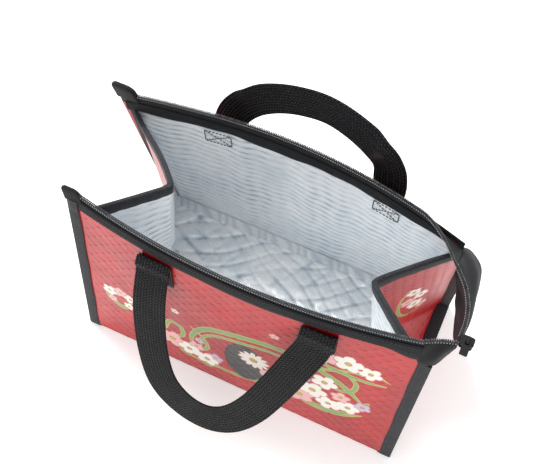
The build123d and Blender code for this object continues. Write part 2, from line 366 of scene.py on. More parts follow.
def stitch_row(route, outward, pitch=STITCH_PITCH, length=STITCH_LENGTH, radius=THREAD):
    """Short raised threads along a route. outward are unit vectors off the cloth, one per point."""
    both = evenly(np.concatenate([route, outward], axis=1), pitch)
    seats, ups = both[:-1, :3], unit(both[:-1, 3:])
    ways = unit(np.diff(both[:, :3], axis=0))
    sideways = np.cross(ways, ups)
    rings = []
    for along, size in ((0.0, 0.45), (0.15, 1.0), (0.85, 1.0), (1.0, 0.45)):
        for turn in range(6):
            a = math.pi * turn / 3
            rings.append(seats + ways * (length * along)
                         + (sideways * math.cos(a) + ups * (math.sin(a) * 0.7 + 0.2)) * radius * size)
    return np.stack(rings, 1)


def stitches(name, rows):
    """One piece of thread from several stitch_row() results."""
    all_rows = np.concatenate(rows)
    count = len(all_rows)
    quads = []
    for ring in range(3):
        for turn in range(6):
            a, b = ring * 6 + turn, ring * 6 + (turn + 1) % 6
            quads.append((a, b, b + 6, a + 6))
    caps = [(5, 4, 3, 2, 1, 0), (18, 19, 20, 21, 22, 23)]
    starts = np.arange(count)[:, None, None] * 24
    quads = (np.array(quads)[None] + starts).reshape(-1, 4)
    caps = (np.array(caps)[None] + starts).reshape(-1, 6)
    coords = np.tile(np.stack([np.arange(24) / 6.0, np.arange(24) % 6], -1), (count, 1))
    return mesh_object(name, all_rows, [quads, caps], coords)


# ---- Materials

def linear(red, green, blue):
    """Colour given as eight-bit sRGB, as the shader's linear RGBA."""
    def one(c):
        c /= 255
        return c / 12.92 if c <= 0.04045 else ((c + 0.055) / 1.055) ** 2.4
    return one(red), one(green), one(blue), 1.0


class Finish:
    """A node material round one Principled shader."""

    def __init__(self, name, **sockets):
        self.material = bpy.data.materials.new(name)
        self.material.use_nodes = True
        self.tree = self.material.node_tree
        self.shader = self.tree.nodes["Principled BSDF"]
        for key, value in sockets.items():
            self.shader.inputs[key.replace("_", " ")].default_value = value

    def add(self, kind, inputs=(), **settings):
        """One more node. Its inputs are values or other nodes' outputs."""
        node = self.tree.nodes.new("ShaderNode" + kind)
        for key, value in settings.items():
            setattr(node, key, value)
        for key, value in dict(inputs).items():
            self.feed(node.inputs[key], value)
        return node

    def feed(self, socket, value):
        """Links or sets a socket."""
        if isinstance(value, bpy.types.NodeSocket):
            self.tree.links.new(value, socket)
        else:
            socket.default_value = value

    def math(self, operation, first, second=0.0):
        """Output of a Math node."""
        return self.add("Math", {0: first, 1: second}, operation=operation).outputs[0]

    def cloth(self):
        """The piece's cloth coordinates, in millimetres."""
        uv = self.add("UVMap", uv_map="cloth").outputs[0]
        return self.add("Mapping", {"Vector": uv, "Scale": (1 / MM, 1 / MM, 1.0)}).outputs[0]

    def place(self):
        """The place in the frame, in millimetres."""
        spot = self.add("TexCoord").outputs["Object"]
        return self.add("Mapping", {"Vector": spot, "Scale": (1 / MM, 1 / MM, 1 / MM)}).outputs[0]

    def field(self, name):
        """The mesh's own value of that name."""
        return self.add("Attribute", attribute_name=name).outputs["Fac"]

    def noise(self, vector, size, detail=2.0, roughness=0.5):
        """Cloudy noise with blotches of about that size in millimetres."""
        inputs = {"Vector": vector, "Scale": 1 / size, "Detail": detail, "Roughness": roughness}
        return self.add("TexNoise", inputs).outputs[0]

    def spread(self, value, low, high, start=0.0, end=1.0):
        """value from start..end mapped smoothly to low..high."""
        inputs = {"Value": value, "From Min": start, "From Max": end, "To Min": low, "To Max": high}
        return self.add("MapRange", inputs, interpolation_type="SMOOTHSTEP").outputs[0]

    def mix(self, share, *colors):
        """Colour between two colours, each an output or eight-bit sRGB values."""
        node = self.add("Mix", {"Factor": share}, data_type="RGBA")
        for index, color in zip((6, 7), colors):
            self.feed(node.inputs[index], linear(*color) if isinstance(color, tuple) else color)
        return node.outputs[2]

    def tones(self, value, dark, light, start=0.3, end=0.7):
        """Colour that goes from dark to light as value goes from start to end."""
        return self.mix(self.spread(value, 0.0, 1.0, start, end), dark, light)

    def bump(self, height, depth, strength=1.0):
        """Relief of that depth in millimetres, laid over any relief before it."""
        node = self.add("Bump", {"Height": height, "Distance": depth * MM, "Strength": strength})
        before = self.shader.inputs["Normal"].links
        if before:
            self.tree.links.new(before[0].from_socket, node.inputs["Normal"])
        self.tree.links.new(node.outputs[0], self.shader.inputs["Normal"])

    def finish(self, color, roughness):
        """Feeds the shader's colour and roughness and returns the material."""
        self.feed(self.shader.inputs["Base Color"], color)
        self.feed(self.shader.inputs["Roughness"], roughness)
        return self.material


def cloth_material(name, dark, light, grain, sheen):
    """Non-woven or felted cloth, with fibres, faint wear and a dull sheen."""
    f = Finish(name, Specular_IOR_Level=0.2, Sheen_Weight=sheen, Sheen_Roughness=0.5)
    spot = f.place()
    fibre = f.noise(spot, grain, 4.0, 0.7)
    worn = f.noise(spot, 26.0, 3.0)
    color = f.tones(fibre, dark, light, 0.3, 0.75)
    f.bump(fibre, 0.12)
    f.bump(f.noise(spot, 6.0, 2.0), 0.3, 0.6)
    return f.finish(color, f.spread(worn, 0.68, 0.83))


def woven_tape_material(name):
    """Zipper tape: fine ribs along its length."""
    f = Finish(name, Specular_IOR_Level=0.2, Sheen_Weight=0.06, Sheen_Roughness=0.4)
    at = f.cloth()
    split = f.add("SeparateXYZ", {0: at})
    rib = f.math("SINE", f.math("MULTIPLY", split.outputs[1], 2 * math.pi / 1.3))
    weft = f.math("SINE", f.math("MULTIPLY", split.outputs[0], 2 * math.pi / 0.9))
    relief = f.math("MULTIPLY", rib, weft)
    color = f.tones(relief, (12, 12, 14), (34, 34, 37), -1.0, 1.0)
    f.bump(relief, 0.12)
    return f.finish(color, f.spread(f.noise(f.place(), 18.0), 0.55, 0.72))


def webbing_material(name):
    """Woven polypropylene: a slanting twill of small glossy raised yarns, whose tops carry a painted
    highlight.
    """
    f = Finish(name, Specular_IOR_Level=0.18, Sheen_Weight=0.02, Sheen_Roughness=0.4)
    split = f.add("SeparateXYZ", {0: f.cloth()})
    along, across = split.outputs[0], split.outputs[1]
    pitch = 2 * math.pi / 2.9
    column = f.math("SINE", f.math("MULTIPLY", across, 2 * math.pi / 2.7))
    lean = f.math("PINGPONG", across, 2.7)
    slant = f.math("SINE", f.math("MULTIPLY", f.math("ADD", along, lean), pitch))
    floats_with_highlight = f.math("MULTIPLY", f.math("ADD", slant, 1.0), f.math("ADD", column, 1.25))
    # Painted highlight: the tops of the floats are coloured lighter, as if lit.
    color = f.tones(floats_with_highlight, (2, 2, 3), (50, 50, 53), 0.8, 4.2)
    f.bump(floats_with_highlight, 0.26)
    f.bump(f.noise(f.place(), 0.8, 3.0, 0.7), 0.08)
    return f.finish(color, f.spread(f.noise(f.place(), 14.0), 0.42, 0.58))


def foil_material(name):
    """Aluminised film, crinkled, with duller rubbed patches, pale bluish blotches and painted bluish shade in
    the valleys of its ribs and creases.
    """
    f = Finish(name, Metallic=0.32, Specular_IOR_Level=0.7)
    spot = f.place()
    cells = {"Vector": spot, "Scale": 1 / 7.0}
    crinkle = f.add("TexVoronoi", cells, feature="DISTANCE_TO_EDGE").outputs[0]
    fine = f.noise(spot, 2.2, 3.0, 0.6)
    folds = f.noise(spot, 9.0, 2.0)
    color = f.tones(folds, (245, 248, 250), (255, 255, 255), 0.3, 0.72)
    color = f.mix(f.spread(f.noise(spot, 70.0, 2.0), 0.0, 0.5, 0.45, 0.7), color, (222, 231, 238))
    # Painted shade: the valleys of the liner's ribs, creases and seam strip are coloured bluish grey, as if
    # shade lay in them.
    relief_shade = f.field("relief")
    color = f.mix(f.spread(relief_shade, 0.7, 0.0, 0.0, 0.7), color, (132, 154, 174))
    f.bump(f.spread(crinkle, 0.0, 1.0, 0.0, 0.25), 0.22, 0.6)
    f.bump(folds, 1.4, 0.5)
    f.bump(fine, 0.12, 0.6)
    return f.finish(color, f.spread(f.noise(spot, 30.0, 3.0), 0.26, 0.44))


def foam_material(name):
    """Closed-cell foam."""
    f = Finish(name, Specular_IOR_Level=0.25)
    cells = f.noise(f.place(), 0.9, 3.0)
    f.bump(cells, 0.2)
    color = f.tones(cells, (226, 226, 218), (245, 245, 240))
    return f.finish(color, f.spread(cells, 0.75, 0.9))


def coil_material(name):
    """Black nylon coil."""
    f = Finish(name, Specular_IOR_Level=0.6)
    worn = f.noise(f.place(), 5.0, 2.0)
    f.bump(f.noise(f.place(), 0.6), 0.03)
    color = f.tones(worn, (26, 26, 28), (58, 58, 62))
    return f.finish(color, f.spread(worn, 0.25, 0.4))


def thread_material(name, dark, light):
    """Twisted sewing thread."""
    f = Finish(name, Specular_IOR_Level=0.35, Sheen_Weight=0.2)
    twist = f.noise(f.place(), 0.5, 2.0)
    f.bump(twist, 0.06)
    return f.finish(f.tones(twist, dark, light), f.spread(twist, 0.5, 0.65))


def enamel_material(name):
    """Black enamel, rubbed to metal along the edges."""
    f = Finish(name, Specular_IOR_Level=0.3, Coat_Weight=0.08, Coat_Roughness=0.25)
    spot = f.place()
    edge = f.spread(f.add("NewGeometry").outputs["Pointiness"], 0.0, 0.6, 0.6, 0.75)
    rub = f.math("MULTIPLY", edge, f.spread(f.noise(spot, 3.0, 4.0), 0.0, 1.0, 0.45, 0.6))
    f.feed(f.shader.inputs["Metallic"], rub)
    f.bump(f.noise(spot, 0.7, 3.0), 0.04)
    color = f.mix(rub, (18, 18, 20), (150, 150, 152))
    return f.finish(color, f.spread(f.noise(spot, 4.0), 0.28, 0.42))


# Each ink's fill and outline, in eight-bit sRGB. Later inks lie over earlier ones.
INKS = {
    "ink_green": ((128, 160, 92), (186, 176, 96)),
    "ink_dark": ((46, 44, 46), (30, 28, 30)),
    "ink_lilac": ((206, 176, 200), (160, 120, 150)),
    "ink_pink": ((236, 176, 176), (190, 120, 110)),
    "ink_white": ((242, 234, 226), (206, 150, 130)),
    "ink_gold": ((196, 170, 74), (170, 140, 60)),
}


def laminate_material(name):
    """Red laminated non-woven with the floral print. An ink attribute is a distance in
    millimetres, positive inside the printed shape, so its edge is where it crosses zero."""
    f = Finish(name, Specular_IOR_Level=0.4, Sheen_Weight=0.04, Sheen_Roughness=0.35,
               Coat_Weight=0.12, Coat_Roughness=0.3)
    spot = f.place()
    color = f.tones(f.noise(spot, 34.0, 3.0), (170, 14, 20), (190, 22, 28))
    # Painted shade: the embossed dimples are coloured a darker red, as if shade lay in the hollows.
    color = f.mix(f.spread(f.field("dimple_shade"), 0.0, 0.7, 0.15, 0.8), color, (104, 8, 16))
    for key, (fill, outline) in INKS.items():
        depth = f.field(key)
        tint = f.tones(depth, outline, fill, 0.7, 1.3)
        color = f.tones(depth, color, tint, -0.25, 0.25)
    f.bump(f.noise(spot, 1.1, 3.0, 0.6), 0.10, 0.6)
    f.bump(f.noise(spot, 7.0, 2.0), 0.35, 0.6)
    return f.finish(color, f.spread(f.noise(spot, 12.0, 3.0), 0.3, 0.44))


MATERIALS = {
    "printed_laminate": laminate_material("printed_laminate"),
    "foam": foam_material("foam"),
    "foil_liner": foil_material("foil_liner"),
    "binding_tape": cloth_material("binding_tape", (30, 30, 33), (62, 62, 66), 1.2, 0.1),
    "facing_cloth": cloth_material("facing_cloth", (14, 14, 16), (34, 34, 37), 1.0, 0.06),
    "zipper_tape": woven_tape_material("zipper_tape"),
    "zipper_coil": coil_material("zipper_coil"),
    "webbing": webbing_material("webbing"),
    "slider_metal": enamel_material("slider_metal"),
}
THREADS = {
    "black": thread_material("black_thread", (20, 20, 22), (52, 52, 56)),
    # Pale thread, partly a painted highlight: its pale colour stands in for the gloss on the black zipper
    # coil.
    "pale_highlight": thread_material("pale_highlight_thread", (140, 142, 144), (208, 210, 212)),
}


# ---- How pieces move

CLOSED_KEEP = 0.1           # share of a wall's bow that is left when the mouth is closed
MOUTH_Y = {FRONT: 46.5, BACK: 51.6}      # where the closing plane of a wall stands at the teeth
LEAN_IN = 4.7               # how far the zipper tape leans in beyond that plane at the teeth


def closing_plane(side, tape):
    """Normal, and anchor in metres, of the plane that a wall or its zipper tape would flatten to."""
    slope = (HALF_DEPTH - MOUTH_Y[side]) / (COIL_Z - EDGE_ROLL)
    low_y = HALF_DEPTH - slope * (TAPE_LOW - EDGE_ROLL)
    if not tape:
        return (0, side * 1.0, slope), (0, side * HALF_DEPTH * MM, EDGE_ROLL * MM)
    slope = (low_y - MOUTH_Y[side] + LEAN_IN) / (COIL_Z - TAPE_LOW)
    return (0, side * 1.0, slope), (0, side * low_y * MM, TAPE_LOW * MM)


def dress(piece, slot, nodes=(), material=None):
    """Gives a piece the material of its slot, or the material given, and hides the CAD nodes it stands for.
    """
    piece.data.materials.clear()
    piece.data.materials.append(material or MATERIALS[slot])
    if nodes:
        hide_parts(*nodes)
    return piece


def on_wall(piece, side, slot, node="", material=None, tape=False):
    """Dresses a piece and attaches it to its wall's body. node is the CAD node it stands for, without the
    side's name."""
    dress(piece, slot, [f"{SIDES[side]}_{node}"] if node else (), material)
    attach(piece, f"{SIDES[side]}_wall")
    axis, anchor = closing_plane(side, tape)
    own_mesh(piece)
    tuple(axis)
    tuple(anchor)


# ---- Print

def round_shape(x, z, centre, radius):
    """Distance inside a disc."""
    return radius - np.hypot(x - centre[0], z - centre[1])


def blossom(x, z, centre, radius, petals=5, turn=0.0):
    """Distance inside a flower with rounded petals."""
    dx, dz = x - centre[0], z - centre[1]
    lobes = 0.58 + 0.42 * np.abs(np.cos(petals / 2 * (np.arctan2(dz, dx) - turn))) ** 0.55
    return radius * lobes - np.hypot(dx, dz)


def leaf(x, z, centre, length, lean):
    """Distance inside a pointed leaf."""
    turn = math.radians(lean)
    along = (x - centre[0]) * math.cos(turn) + (z - centre[1]) * math.sin(turn)
    aside = np.abs(-(x - centre[0]) * math.sin(turn) + (z - centre[1]) * math.cos(turn))
    radius = length * 0.72
    drop = math.sqrt(radius ** 2 - (length / 2) ** 2)
    return radius - np.hypot(along, aside + drop)


def stroke(x, z, points, width):
    """Distance inside a line that swells in its middle."""
    route = smooth_route(points, 2.0)
    best = np.full(x.shape, -1e3)
    for i, (px, pz) in enumerate(route):
        swelling = width / 2 * (0.35 + 0.65 * math.sin(math.pi * (i + 0.5) / len(route)))
        best = np.maximum(best, swelling - np.hypot(x - px, z - pz))
    return best


# The print on a wall, as (x, z) in millimetres, with each shape's size and a leaf's lean in degrees.
SWIRLS = [
    ([(-43, 52), (-44, 78), (-30, 104), (0, 121), (43, 127), (80, 124), (98, 132)], 7.0),
    ([(-34, 58), (-34, 82), (-18, 101), (12, 112), (46, 114), (72, 104)], 4.5),
    ([(98, 132), (112, 118), (110, 100), (98, 96), (92, 106)], 4.5),
    ([(-36, 44), (-18, 33), (6, 34), (30, 44), (52, 60)], 5.0),
    ([(52, 66), (72, 50), (98, 46), (116, 58), (118, 74)], 5.5),
    ([(88, 128), (104, 136), (126, 143), (138, 138)], 3.5),
    ([(-132, 72), (-121, 66), (-110, 72)], 6.0),
    ([(-136, 84), (-134, 74), (-128, 67)], 4.0),
    ([(44, 84), (56, 96), (60, 112)], 4.0),
    ([(-72, 66), (-68, 84), (-56, 84), (-54, 68), (-62, 58)], 5.0),
    ([(-44, 96), (-32, 84), (-28, 66), (-40, 52), (-56, 34), (-34, 28), (-16, 30)], 4.5),
    ([(58, 128), (82, 118), (104, 104), (122, 84)], 6.0),
    ([(60, 140), (84, 132), (112, 128), (136, 130)], 5.0),
    ([(62, 48), (84, 40), (108, 46), (126, 60)], 4.5),
]
LEAVES = [
    ((-30, 26), 15, -20), ((95, 141), 12, 30), ((112, 139), 12, 150), ((-58, 62), 13, 60),
    ((50, 36), 13, 20), ((126, 84), 13, 70), ((35, 150), 9, 20), ((-108, 84), 10, 80),
    ((66, 128), 12, 10),
]
FLOWERS = [
    ("ink_pink", (-66, 50), 15), ("ink_white", (-48, 44), 13), ("ink_white", (-29, 39), 13),
    ("ink_pink", (-40, 58), 9), ("ink_lilac", (-20, 50), 9), ("ink_lilac", (-36, 74), 6),
    ("ink_pink", (-120, 92), 8.5), ("ink_white", (-132, 87), 8.5), ("ink_white", (-109, 88), 8),
    ("ink_white", (-112, 73), 6.5), ("ink_pink", (-130, 74), 6), ("ink_white", (-60, 112), 5),
    ("ink_pink", (80, 146), 13), ("ink_white", (101, 149), 14), ("ink_white", (121, 144), 11),
    ("ink_lilac", (62, 90), 13), ("ink_white", (86, 100), 13), ("ink_pink", (66, 56), 16),
    ("ink_white", (77, 76), 15), ("ink_white", (94, 60), 13), ("ink_white", (112, 66), 12),
    ("ink_lilac", (124, 77), 9), ("ink_pink", (103, 82), 10), ("ink_lilac", (50, 72), 9),
    ("ink_pink", (36, 150), 5.5), ("ink_white", (70, 116), 7),
]


def wall_print(x, z):
    """Ink distances of the floral print on a wall."""
    ink = {key: np.full(x.shape, -50.0) for key in INKS}

    def put(key, depth):
        ink[key] = np.maximum(ink[key], depth)

    for points, width in SWIRLS:
        put("ink_green", stroke(x, z, points, 1.25 * width))
    for centre, length, lean in LEAVES:
        put("ink_green", leaf(x, z, centre, length, lean))

    wide, tall = 20.5, 37.0
    put("ink_dark", wide - np.hypot(x - 10, (z - 71) * wide / tall))
    daisy = (19, 84)
    put("ink_white", blossom(x, z, daisy, 16.0, 12, 0.1))
    put("ink_pink", round_shape(x, z, (34, 66), 9.0))

    for i, (key, centre, size) in enumerate(FLOWERS):
        put(key, blossom(x, z, centre, size, 5, 0.7 * i))
        put("ink_gold", round_shape(x, z, centre, size * 0.24))
    put("ink_gold", round_shape(x, z, daisy, 4.2))
    return ink


def gusset_print(seam, z):
    """Ink distances on a folded side panel. seam is the distance from its wall's seam."""
    ink = {key: np.full(seam.shape, -50.0) for key in INKS}
    flowers = [("ink_white", (38, 118), 9), ("ink_white", (30, 104), 9), ("ink_pink", (44, 98), 9),
               ("ink_white", (36, 84), 10), ("ink_pink", (28, 72), 8)]
    for i, (key, centre, size) in enumerate(flowers):
        ink[key] = np.maximum(ink[key], blossom(seam, z, centre, size, 5, 0.9 * i))
        ink["ink_gold"] = np.maximum(ink["ink_gold"], round_shape(seam, z, centre, size * 0.26))
    curl = [(22, 60), (44, 62), (54, 82), (52, 108), (42, 128)]
    ink["ink_green"] = np.maximum(ink["ink_green"], stroke(seam, z, curl, 4.5))
    return ink


# ---- Walls

DIMPLE_DEPTH = 0.55
WALL_COLUMN, WALL_ROW = 7.0, 13.0
GUSSET_COLUMN, GUSSET_ROW = 10.0, 6.5
SKIN_LAP = 1.6              # a wall's skin reaches this far down over the bottom's rolled edge
FOAM_INSET = 2.0            # a wall's foam ends short of its seams


def dimples(u, v, column, row, long, tall):
    """Embossed dashes on a staggered lattice, from 0 between them to 1 in their middle."""
    which = np.round(u / column)
    shift = np.where(which % 2 == 0, 0.0, row / 2)
    du = (u - which * column) / long
    dv = ((v - shift + row / 2) % row - row / 2) / tall
    return np.exp(-(du ** 4 + dv ** 4))


def skin_height(side, u, v):
    """Height on a wall's skin. The right seam allowance ends under its binding's top."""
    top = heights(f"{SIDES[side]}_right_corner_binding")[1] - 0.6
    short = fade(u, BOTTOM_EDGE - 2.5, BOTTOM_EDGE + 0.5) * (SKIN_TOP - top)
    return v - short * (v - WALL_FOOT) / (SKIN_TOP - WALL_FOOT)


def wall_skin(side):
    """Embossed and printed outer sheet, with seam allowances that run into the bindings."""
    reach = half_width(0) - 2.0
    us = spaced(-reach, reach, WALL_COLUMN / 6)
    vs = spaced(WALL_FOOT - SKIN_LAP, SKIN_TOP, WALL_ROW / 12)
    u, v = np.meshgrid(us, vs)
    x = u * half_width(v) / half_width(0)
    hollow = dimples(u, v, WALL_COLUMN, WALL_ROW, 1.45, 0.85)
    hollow *= fade(BOTTOM_EDGE - 1 - np.abs(u), 0, 2) * fade(SKIN_TOP - 2 - v, 0, 2)
    ripple = 0.22 * np.sin(2 * np.pi * v / WALL_ROW + 0.5 * np.sin(u / 9)) * np.sin(np.pi * u / WALL_COLUMN)
    ripple *= fade(BOTTOM_EDGE - 1 - np.abs(u), 0, 6) * fade(SKIN_TOP - 4 - v, 0, 4)
    outer = -DIMPLE_DEPTH * hollow + ripple * 0.5 - 0.1
    ink = wall_print(x * (1 if side == FRONT else -1), v)
    # The hollows' depth also paints shade into them, in the laminate's colour.
    ink["dimple_shade"] = hollow

    def place(u, v, out):
        z = skin_height(side, u, v)
        return wall(side, u * half_width(z) / half_width(0), z, out)

    name = SIDES[side]
    piece = sheet(f"{name}_skin_cloth", us, vs, place, outer - SKIN + 0.1, outer, ink)
    on_wall(piece, side, "printed_laminate", "skin")


def wall_foam(side):
    """Foam ply."""
    us = np.linspace(-1, 1, 61)
    vs = np.linspace(WALL_FOOT, FOAM_TOP, 40)

    def place(u, v, out):
        return wall(side, u * (panel_edge(v) - FOAM_INSET), v, out)

    name = SIDES[side]
    piece = sheet(f"{name}_foam_ply", us, vs, place, FOAM[0], FOAM[1] - DIMPLE_DEPTH - 0.15)
    on_wall(piece, side, "foam", "foam")


def quilting(u, v):
    """Height of the liner's soft wavy ribs, from 0 to 1. They fade in and out across the sheet."""
    wave = v + 2.4 * np.sin(u / 13) + 1.5 * np.sin(u / 5.3 + 1.0) + 2.2 * np.sin(u / 31 + v / 17)
    ribs = (0.5 - 0.5 * np.cos(2 * np.pi * wave / 9.5)) ** 0.7
    cross = 0.5 - 0.5 * np.cos(2 * np.pi * (u + 2.5 * np.sin(v / 8)) / 16.0)
    patchy = 0.76 + 0.24 * np.sin(u / 37 + v / 29) * np.sin(u / 19 - v / 33 + 1)
    return 1 - patchy * (1 - ribs) * (0.66 + 0.34 * cross)


def wall_liner(side):
    """Aluminised inner sheet with its quilting."""
    us = spaced(-BOTTOM_EDGE, BOTTOM_EDGE, 1.7)
    vs = spaced(WALL_FOOT - 1.5, LINER_TOP, 1.5)
    u, v = np.meshgrid(us, vs)
    calm = fade(BOTTOM_EDGE - np.abs(u), 1, 12) * fade(BAND_LOW + 2 - v, 0, 8) * fade(v, WALL_FOOT + 1, 16)
    ribs = quilting(u, v)

    def place(u, v, out):
        return wall(side, u * panel_edge(v) / panel_edge(0), v, out)

    name = SIDES[side]
    inner = LINER[0] - 2.0 * ribs * calm
    # The relief attribute also paints bluish shade into the valleys of the ribs.
    piece = sheet(f"{name}_liner_foil", us, vs, place, inner, LINER[1], {"relief": ribs})
    on_wall(piece, side, "foil_liner", "liner")


def along_wall(side, name, section, thickness, xs, surface=wall):
    """Band along a wall's rim. section gives its middle line as (out, z) at each x."""
    loops = []
    for x in xs:
        outline, across = thick_line(section(x), thickness)
        loops.append(surface(side, x, outline[:, 1], outline[:, 0]))
    return loft(name, np.array(loops), across)


def up_the_rim(outs, low, high):
    """Section of a band as (out, z), from its hem to its top."""
    return [(out, low + share * (high - low)) for out, share in zip(outs, (0, 0.25, 0.5, 0.8, 1))]


def rim_bands(side):
    """Facing outside, band inside, and the zipper tape between them."""
    name = SIDES[side]
    reach = panel_edge(FACING_TOP)
    xs = spaced(-reach - 5, reach + 0.5, 2.5)

    def facing(x):
        low = FACING_LOW + 2.0 + 0.25 * math.sin(x / 7)
        if side == FRONT:
            low -= 2.5 * math.exp(-((x - 10) / 45) ** 2) + 7.5 * float(fade(x, 122, 146))
        else:
            low -= 4.0 * float(fade(x, 112, 146))
        return up_the_rim((0.5, 0.62, 0.55, 0.1, -0.35), low, FACING_TOP - 0.4)

    def band(x):
        low = BAND_LOW + 0.6 + 1.6 * math.sin(x / 17) + 0.7 * math.sin(x / 6.1)
        return up_the_rim((-4.1, -4.0, -3.65, -3.2, -2.75), low, BAND_TOP - 0.4)

    def tape(x):
        return [(TAPE_OUT, z) for z in (TAPE_LOW + 0.5, (TAPE_LOW + TAPE_TOP) / 2, TAPE_TOP)]

    piece = along_wall(side, f"{name}_facing_band", facing, BAND, xs)
    on_wall(piece, side, "facing_cloth", "facing")
    piece = along_wall(side, f"{name}_inner_facing", band, BAND - 0.1, xs)
    on_wall(piece, side, "facing_cloth", "inner_band")
    piece = along_wall(side, f"{name}_tape", tape, 0.9, xs, rim)
    on_wall(piece, side, "zipper_tape", "zipper_tape", tape=True)


COIL_PITCH, COIL_RADIUS, COIL_WIRE = 1.6, 1.0, 0.5


def coil(name, centres, outward):
    """Zipper coil wound round a line of centres."""
    both = evenly(np.concatenate([centres, outward], axis=1), COIL_PITCH / 10)
    centres, outward = both[:, :3], unit(both[:, 3:])
    turn = 2 * np.pi * np.arange(len(centres)) / 10
    up = np.array([0, 0, 1.0])
    arm = outward * np.cos(turn)[:, None] + up * np.sin(turn)[:, None]
    path = centres + arm * COIL_RADIUS
    ways = unit(np.gradient(path, axis=0))
    aside = unit(np.cross(ways, arm))
    angles = 2 * np.pi * np.arange(5) / 5
    loops = path[:, None] + COIL_WIRE * (np.cos(angles)[None, :, None] * arm[:, None]
                                         + np.sin(angles)[None, :, None] * aside[:, None])
    return loft(name, loops, np.arange(5) * 0.4)


def wall_coil(side):
    """One row of the zipper's teeth."""
    reach = panel_edge(COIL_Z) - 0.5
    xs = np.linspace(-reach, reach, 120)
    centres = rim(side, xs, COIL_Z, TAPE_OUT)
    outward = outwards(side, len(xs))
    piece = coil(f"{SIDES[side]}_teeth", centres, outward)
    on_wall(piece, side, "zipper_coil", "zipper_coil", tape=True)
    # The pale stitch rows are partly a painted highlight on the teeth.
    piece = coil_highlight_stitches(f"{SIDES[side]}_teeth_highlight_stitches", centres, outward)
    on_wall(piece, side, "zipper_coil", material=THREADS["pale_highlight"], tape=True)


def coil_highlight_stitches(name, centres, outward):
    """The two rows of pale thread that hold a coil to its tape. Their pale colour is partly a painted
    highlight, standing in for the gloss on the black coil.
    """
    rows = []
    for way in (1, -1):
        seat = centres + outward * (way * (COIL_RADIUS + 0.35)) - np.array([0, 0, 1.35])
        rows.append(stitch_row(seat, outward * way, 2.1, 1.15, 0.4))
    return stitches(name, rows)


BINDING_FOOT = 2.2          # the corner bindings reach down over the bottom's rolled edge


def corner_bindings(side):
    """Tape folded over the vertical seams."""
    for hand, word in HANDS.items():
        node = f"{SIDES[side]}_{word}_corner_binding"
        loops = []
        for z in np.linspace(BINDING_FOOT, heights(node)[1], 70):
            root = panel_edge(z) + 0.9 + 0.3 * math.sin(z / 9 + hand)
            tip = half_width(z) - 0.4
            over = 1.0 * float(fade(z, FACING_LOW - 4, FACING_LOW + 1)) if hand == LEFT else 0.0
            line = [(root, 0.42 + over), ((root + tip) / 2, 0.5 + over), (tip - 1.2, 0.4 + 0.4 * over)]
            line += arc((tip - 1.0, -0.6), 0.95, 75, -75, 6)
            line += [(tip - 1.4, -1.6), ((root + tip) / 2, -1.65), (root + 1.5, -1.6)]
            outline, across = thick_line(line, BINDING)
            seam = wall(side, hand * panel_edge(z), z)
            loops.append(xyz(hand * outline[:, 0], seam[1] + side * outline[:, 1], z))
        piece = loft(f"{node}_tape", np.array(loops), across)
        on_wall(piece, side, "binding_tape", f"{word}_corner_binding")


CAP_SPLAY = 3.0             # how far an end cap's top leans out sideways


def end_caps(side):
    """Folded left ends of the zipper tape."""
    node = f"{SIDES[side]}_left_end_cap"
    low, high = heights(node)
    loops = []
    rise, breadth, plump = {FRONT: (2.0, FIN + 2.0, 3.6), BACK: (8.0, FIN + 5.0, 5.4)}[side]
    for share in 1 - np.linspace(1, 0, 22) ** 1.6:
        z = low - 1.5 + (high - low + 1.5 + rise) * share
        rounding = math.sqrt(max(0.0, 1 - (max(0.0, share - 0.6) / 0.4) ** 2.2))
        half = breadth / 2 * (0.12 + 0.88 * rounding)
        middle = -half_width(z) + 0.3 + breadth / 2 - CAP_SPLAY * share ** 1.3
        outline, across = thick_line([(middle + half, -0.6), (middle, -0.6), (middle - half, -0.6)],
                                     plump * (0.3 + 0.7 * rounding), 5)
        y = wall(side, -panel_edge(z), z)[1]
        loops.append(xyz(outline[:, 0], y + side * outline[:, 1], z))
    piece = loft(f"{node}_fold", np.array(loops), across)
    on_wall(piece, side, "facing_cloth", "left_end_cap")


def wall_stitching(side):
    """Seams along the facing and beside the corner bindings."""
    reach = panel_edge(FACING_TOP) - 1
    xs = np.linspace(-reach, reach, 80)
    rows = []
    for z, out in ((FACING_LOW + 2.6, 1.05), (FACING_TOP - 3.0, 0.62)):
        rows.append(stitch_row(wall(side, xs, z, out), outwards(side, len(xs))))
    for hand, word in HANDS.items():
        top = heights(f"{SIDES[side]}_{word}_corner_binding")[1]
        zs = np.linspace(WALL_FOOT + 2, top - 2, 60)
        seam = wall(side, hand * panel_edge(zs), zs)
        seam[:, 0] = hand * (panel_edge(zs) + 3.0)
        seam[:, 1] += side * 0.82
        rows.append(stitch_row(seam, outwards(side, len(zs))))
    piece = stitches(f"{SIDES[side]}_seam_stitches", rows)
    on_wall(piece, side, "binding_tape", material=THREADS["black"])


# ---- Handles

LEG_X = {FRONT: 73.0, BACK: 76.0}
ROD = 3.35                  # radius that the front webbing's fold takes round the swing axis


def swing_axis(side):
    """A point on the handle's swing axis and the axis, which runs towards +X."""
    joint = next(j for j in frame["joints"] if j["name"] == f"{SIDES[side]}_handle_swing")
    return np.array(joint["pos_m"]) / MM, unit(np.array(joint["axis"], float))


LOOP_ANGLE = {FRONT: -59.0, BACK: 78.0}     # from straight out, in degrees, up is positive


def box_stitch(side, x_mid, low, high, out, thread=THREAD):
    """A sewn rectangle with its two diagonals, outside the wall or, with a negative out, inside."""
    wide = WEBBING / 2 - 2.6
    a, b, c, d = (-wide, low), (wide, low), (wide, high), (-wide, high)
    rows = []
    for run in ((a, b, c, d, a), (a, c), (d, b)):
        line = evenly(np.array(run), 2.0)
        route = wall(side, x_mid + line[:, 0], line[:, 1], out)
        facing = outwards(side if out > 0 else -side, len(route))
        rows.append(stitch_row(route, facing, radius=thread))
    return rows


